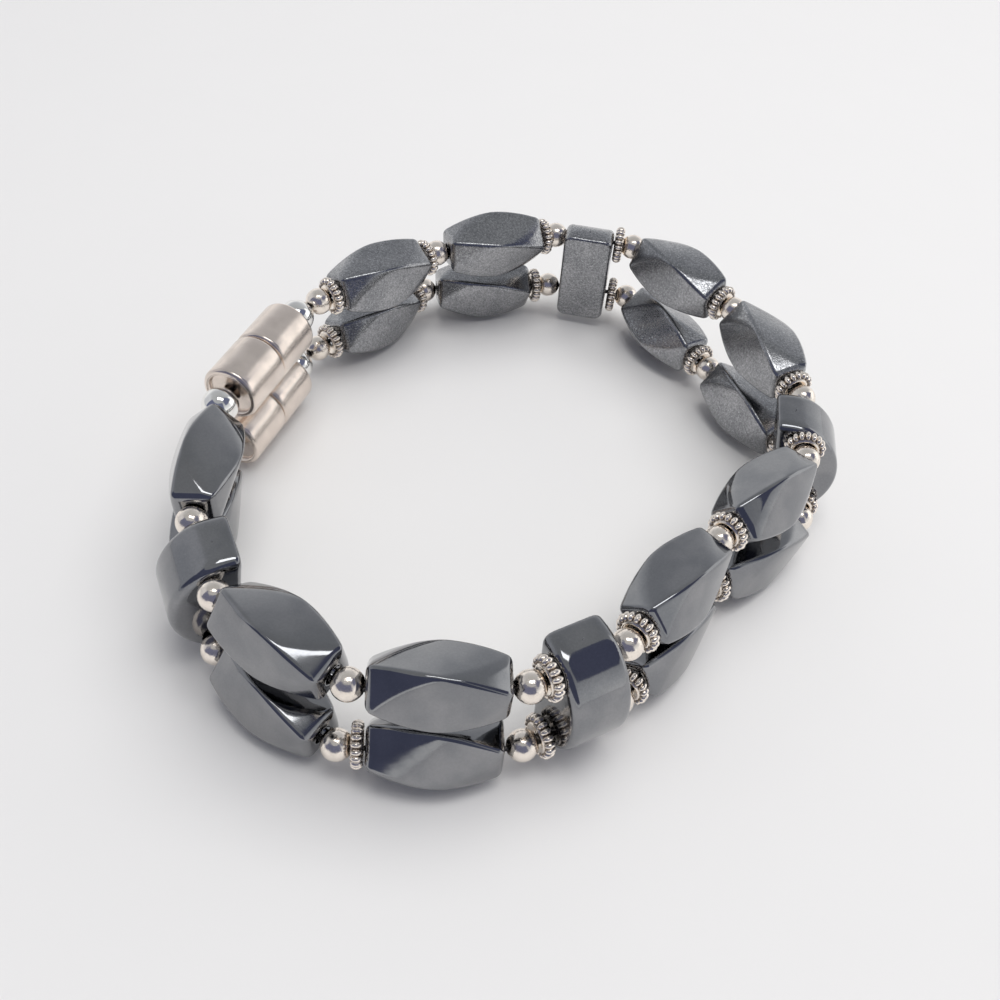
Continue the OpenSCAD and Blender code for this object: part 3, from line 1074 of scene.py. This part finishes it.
class BRACELET_OT_strings(bpy.types.Operator):
    """Coated stringing wire of both strands"""

    bl_idname = "bracelet.strings"
    bl_label = "Stringing wire"

    def execute(self, context):
        tree, metal = wire_tree(), wire_finish()
        for strand in STRANDS:
            node = f"{strand}_string"
            route = string_route(node)
            links = [(i, i + 1) for i in range(len(route) - 1)]
            made = mesh_object("route", route, [], smooth=False, edges=links)
            width = length_of("string_size")
            piece = tree.run(made, f"{strand}_wire", Wire_Size=width, Sides=12, Material=metal)
            piece.data.shade_smooth()
            dress(piece, metal, "string_wire", node)
        return {"FINISHED"}


# Stage

# Nearest and farthest point that the camera sees, in metres
SEEN_RANGE = (0.005, 10.0)
# Tone of the wall from the floor, at 0, to straight above, at 1
WALL_STOPS = [
    (0.0, (0.8, 0.8, 0.8)),
    (0.17, (0.62, 0.63, 0.65)),
    (0.37, (0.4, 0.41, 0.435)),
    (0.6, (0.35, 0.36, 0.375)),
    (1.0, (0.3, 0.305, 0.315)),
]
# name, heading from +Y towards +X, height, width, tallness and soft edge in degrees, tone
ROOM_PANELS = [
    ("left_wall", -105, 12, 60, 40, 20, (0.48, 0.49, 0.52)),
    ("right_window", 68, 18, 34, 34, 8, (1.0, 1.0, 1.0)),
    ("dark_front", -165, 29, 117, 48, 2, (0.11, 0.12, 0.185)),
    ("dark_right", 91, 48, 56, 34, 2, (0.11, 0.12, 0.185)),
]
# Tone of the room where the camera sees it past the floor
BACKDROP = (0.7, 0.7, 0.7)
# name, middle, length along X and width in metres, power in watts, seen in mirrors
LAMPS = [
    ("ceiling_lamp", (0.045, -0.04, 0.5), 0.29, 0.11, 0.36, True),
    ("soft_panel", (0.24, 0.14, 0.75), 0.8, 0.8, 5.2, False),
]


class BRACELET_OT_stage(bpy.types.Operator):
    """Camera, pale floor and soft light"""

    bl_idname = "bracelet.stage"
    bl_label = "Stage"

    def execute(self, context):
        self.floor()
        self.room()
        self.lights()
        self.camera()
        return {"FINISHED"}

    def floor(self):
        half = stage_of("floor_size") / 2
        corners = [(-half, -half, 0), (half, -half, 0), (half, half, 0), (-half, half, 0)]
        made = mesh_object("pale_floor", corners, [(0, 1, 2, 3)], smooth=False)
        made.data.materials.append(floor_finish())

    def room(self):
        """A pale room that fades upwards, with a window at the right and a dark side behind the camera."""
        world = bpy.data.worlds.new("soft_room")
        bpy.context.scene.world = world
        world.use_nodes = True
        world.node_tree.nodes.clear()
        tree = Tree(world.node_tree)
        ways = tree.add("ShaderNodeTexCoord", None, None, "Generated")
        split = tree.make("ShaderNodeSeparateXYZ", None, [ways])
        x, y, z = (Number(tree, split.outputs[name]) for name in "XYZ")
        heading = x.step("ARCTAN2", y) * math.degrees(1)
        height = z.step("ARCSINE") * math.degrees(1)
        shade = tree.add("ShaderNodeValToRGB", {"stops": WALL_STOPS}, {"Fac": height * (1 / 90)})
        for _, at_heading, at_height, width, tall, soft, tone in ROOM_PANELS:
            aside = (heading - at_heading).step("WRAP", 180.0, -180.0).step("ABSOLUTE")
            above = (height - at_height).step("ABSOLUTE")
            share = aside.between(width / 2 + soft, width / 2) * above.between(tall / 2 + soft, tall / 2)
            shade = tree.blend(share, shade, tone)
        seen = tree.add("ShaderNodeLightPath", None, None, "Is Camera Ray")
        shade = tree.blend(seen, shade, BACKDROP)
        light = tree.add("ShaderNodeBackground", None, {"Color": shade, "Strength": stage_of("room")})
        tree.make("ShaderNodeOutputWorld", None, {"Surface": light})

    def lights(self):
        """A ceiling lamp that shows in the stones, and a soft panel that lights only the floor."""
        for name, middle, length, width, power, in_mirrors in LAMPS:
            lamp = bpy.data.lights.new(name, "AREA")
            lamp.shape, lamp.size, lamp.size_y, lamp.energy = "RECTANGLE", length, width, power
            made = new_object(name, lamp)
            made.location = middle
            made.visible_glossy = in_mirrors

    def camera(self):
        data = bpy.data.cameras.new("camera")
        data.lens = stage_of("lens")
        data.clip_start, data.clip_end = SEEN_RANGE
        made = new_object("camera", data)
        target = Matrix.Translation([stage_of(f"camera_{axis}") for axis in "xyz"])
        tilt = Matrix.Rotation(math.pi / 2 - stage_of("camera_height"), 4, "X")
        roll = Matrix.Rotation(stage_of("camera_roll"), 4, "Z")
        made.matrix_world = target @ tilt @ roll @ Matrix.Translation((0, 0, stage_of("camera_distance")))
        bpy.context.scene.camera = made
        bpy.context.scene.view_settings.view_transform = "Standard"


class BRACELET_PT_panel(bpy.types.Panel):
    """Buttons and values of the bracelet"""

    bl_idname = "BRACELET_PT_panel"
    bl_label = "Hematite bracelet"
    bl_space_type = "VIEW_3D"
    bl_region_type = "UI"
    bl_category = "Bracelet"

    def draw(self, context):
        for operator in OPERATORS:
            self.layout.operator(operator.bl_idname)
        for label, group in GROUPS.items():
            column = self.layout.column(align=True)
            for name in group.__annotations__:
                column.prop(getattr(context.scene, label), name)


OPERATORS = (
    BRACELET_OT_beads,
    BRACELET_OT_bars,
    BRACELET_OT_round_spacers,
    BRACELET_OT_fluted_spacers,
    BRACELET_OT_clasps,
    BRACELET_OT_end_balls,
    BRACELET_OT_strings,
    BRACELET_OT_stage,
)
GROUPS = {
    "bracelet_sizes": BraceletSizes,
    "bracelet_colours": BraceletColours,
    "bracelet_stage": BraceletStage,
}


def register():
    for made in (*GROUPS.values(), *OPERATORS, BRACELET_PT_panel):
        bpy.utils.register_class(made)
    for name, group in GROUPS.items():
        setattr(bpy.types.Scene, name, bpy.props.PointerProperty(type=group))


def unregister():
    for name in GROUPS:
        delattr(bpy.types.Scene, name)
    for made in (BRACELET_PT_panel, *OPERATORS[::-1], *GROUPS.values()):
        bpy.utils.unregister_class(made)


def main():
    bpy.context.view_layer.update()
    register()
    bpy.ops.bracelet.beads()
    bpy.ops.bracelet.bars()
    bpy.ops.bracelet.round_spacers()
    bpy.ops.bracelet.fluted_spacers()
    bpy.ops.bracelet.clasps()
    bpy.ops.bracelet.end_balls()
    bpy.ops.bracelet.strings()
    bpy.ops.bracelet.stage()


if __name__ == "__main__":
    main()
